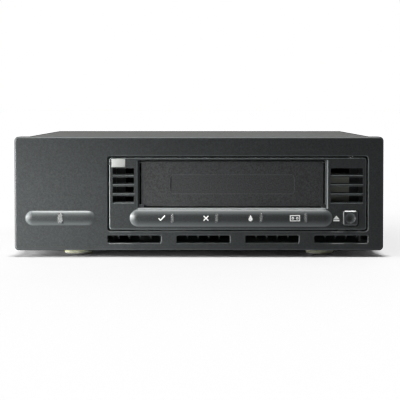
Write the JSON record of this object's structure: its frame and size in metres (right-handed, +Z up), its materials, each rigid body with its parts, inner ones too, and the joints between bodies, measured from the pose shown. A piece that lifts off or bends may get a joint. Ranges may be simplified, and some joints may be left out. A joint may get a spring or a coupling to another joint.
{
  "type": "data tape drive",
  "caption": "Table-top cartridge tape drive: steel enclosure, moulded front with swinging slot door, eject key, reels, lifting head, fan and rear sockets.",
  "frame": {"origin": "on the surface that the feet stand on, under the middle of the whole outline", "axes": "+Y from the front to the rear, +Z up, +X to the right seen from the front"},
  "size_m": [0.2116, 0.311, 0.069],
  "materials": {
    "charcoal_moulding": "fine moulded grain, satin",
    "clear_lens": "clear moulded light pipe",
    "pale_rubber": "pale translucent rubber",
    "cover_paint": "fine textured paint",
    "zinc_plate": "zinc plated sheet",
    "black_sheet": "black coated sheet",
    "black_casting": "die cast aluminium, black coat",
    "dark_screw": "blackened steel",
    "bright_screw": "nickel plated",
    "board_green": "solder masked board",
    "cast_metal": "die cast, machined where it fits",
    "motor_case": "plated motor case",
    "reel_white": "smooth moulding",
    "black_moulding": "glass filled moulding",
    "heatsink_metal": "extruded",
    "pin_metal": "plated",
    "winding_tape": "taped winding",
    "ribbon_grey": "flat cable"
  },
  "bodies": {
    "root": {"front_bezel": "charcoal_moulding", "power_light_pipe": "clear_lens", "power_light_board": "board_green", "rubber_feet": "pale_rubber", "base_tray": "zinc_plate", "top_cover": "cover_paint", "cover_screws": "dark_screw", "drive_bezel": "charcoal_moulding", "status_light_pipes": "clear_lens", "status_board": "board_green", "drive_chassis": "black_casting", "drive_lid": "zinc_plate", "lid_screws": "bright_screw", "drive_rail_left": "zinc_plate", "drive_rail_right": "zinc_plate", "rail_screws": "bright_screw", "cartridge_receiver": "black_sheet", "reel_motor": "motor_case", "takeup_motor": "motor_case", "guide_plate": "zinc_plate", "head_frame": "bright_screw", "head_stepper": "motor_case", "load_motor": "motor_case", "main_board": "board_green", "drive_plugs": "black_moulding", "psu_board": "board_green", "psu_standoffs": "cast_metal", "psu_heatsink": "heatsink_metal", "psu_transformer": "winding_tape", "psu_capacitor": "black_moulding", "rear_panel": "zinc_plate", "mains_inlet": "black_moulding", "mains_pins": "pin_metal", "switch_housing": "black_moulding", "fan_frame": "black_moulding", "fan_guard": "zinc_plate", "fan_screws": "bright_screw", "jack_standoffs": "bright_screw", "id_switch_body": "black_moulding", "data_ribbon": "ribbon_grey", "power_harness": "black_moulding", "data_socket_shell_upper": "bright_screw", "data_socket_insert_upper": "black_moulding", "data_socket_shell_lower": "bright_screw", "data_socket_insert_lower": "black_moulding"},
    "cartridge_door": {"cartridge_door": "charcoal_moulding"},
    "eject_button": {"eject_button": "charcoal_moulding"},
    "drive_hub": {"drive_hub": "cast_metal"},
    "takeup_reel": {"takeup_reel": "reel_white"},
    "guide_roller_1": {"guide_roller_1": "cast_metal"},
    "guide_roller_2": {"guide_roller_2": "cast_metal"},
    "guide_roller_3": {"guide_roller_3": "cast_metal"},
    "guide_roller_4": {"guide_roller_4": "cast_metal"},
    "head_carriage": {"head_carriage": "cast_metal"},
    "lead_screw": {"lead_screw": "bright_screw"},
    "power_rocker": {"power_rocker": "black_moulding"},
    "fan_rotor": {"fan_rotor": "black_moulding"},
    "id_wheel": {"id_wheel": "reel_white"},
    "id_button_upper": {"id_button_upper": "black_moulding"},
    "id_button_lower": {"id_button_lower": "black_moulding"}
  },
  "joints": [
    {"name": "door_swing", "type": "hinge", "parent": "root", "child": "cartridge_door", "pos_m": [0.01915, -0.15015, 0.05455], "axis": [1, 0, 0], "range_deg": [0, 88], "stiffness_Nm_per_rad": 0.002, "springref_deg": -17.19},
    {"name": "eject_press", "type": "slide", "parent": "root", "child": "eject_button", "axis": [0, 1, 0], "range_m": [0, 0.0008], "stiffness_N_per_m": 400, "springref_m": -0.0005},
    {"name": "drive_hub_spin", "type": "hinge", "parent": "root", "child": "drive_hub", "pos_m": [0.01915, -0.0958, 0.0255], "axis": [0, 0, 1], "continuous": true},
    {"name": "takeup_reel_spin", "type": "hinge", "parent": "root", "child": "takeup_reel", "pos_m": [-0.00335, 0.0026, 0.0325], "axis": [0, 0, 1], "continuous": true},
    {"name": "guide_roller_1_spin", "type": "hinge", "parent": "root", "child": "guide_roller_1", "pos_m": [0.05533, -0.02793, 0.03325], "axis": [0, 0, 1], "continuous": true},
    {"name": "guide_roller_2_spin", "type": "hinge", "parent": "root", "child": "guide_roller_2", "pos_m": [0.06833, -0.01374, 0.03325], "axis": [0, 0, 1], "continuous": true},
    {"name": "guide_roller_3_spin", "type": "hinge", "parent": "root", "child": "guide_roller_3", "pos_m": [0.06833, 0.01894, 0.03325], "axis": [0, 0, 1], "continuous": true},
    {"name": "guide_roller_4_spin", "type": "hinge", "parent": "root", "child": "guide_roller_4", "pos_m": [0.05533, 0.03313, 0.03325], "axis": [0, 0, 1], "continuous": true},
    {"name": "head_lift", "type": "slide", "parent": "root", "child": "head_carriage", "axis": [0, 0, 1], "range_m": [-0.0035, 0.0035]},
    {"name": "lead_screw_spin", "type": "hinge", "parent": "root", "child": "lead_screw", "pos_m": [0.05803, 0.0026, 0.0326], "axis": [0, 0, 1], "range_deg": [-640, 640]},
    {"name": "power_rocker_tilt", "type": "hinge", "parent": "root", "child": "power_rocker", "pos_m": [-0.07723, 0.1485, 0.0512], "axis": [-1, 0, 0], "range_deg": [0, 16]},
    {"name": "fan_spin", "type": "hinge", "parent": "root", "child": "fan_rotor", "pos_m": [-0.02841, 0.1338, 0.0367], "axis": [0, 1, 0], "continuous": true},
    {"name": "id_wheel_turn", "type": "hinge", "parent": "root", "child": "id_wheel", "pos_m": [0.08623, 0.1458, 0.0367], "axis": [1, 0, 0], "continuous": true},
    {"name": "id_button_upper_press", "type": "slide", "parent": "root", "child": "id_button_upper", "axis": [0, -1, 0], "range_m": [0, 0.001], "stiffness_N_per_m": 200, "springref_m": -0.0005},
    {"name": "id_button_lower_press", "type": "slide", "parent": "root", "child": "id_button_lower", "axis": [0, -1, 0], "range_m": [0, 0.001], "stiffness_N_per_m": 200, "springref_m": -0.0005}
  ],
  "couplings": [
    {"joint": "lead_screw_spin", "follows": "head_lift", "rad_per_m": 3141.6}
  ]
}
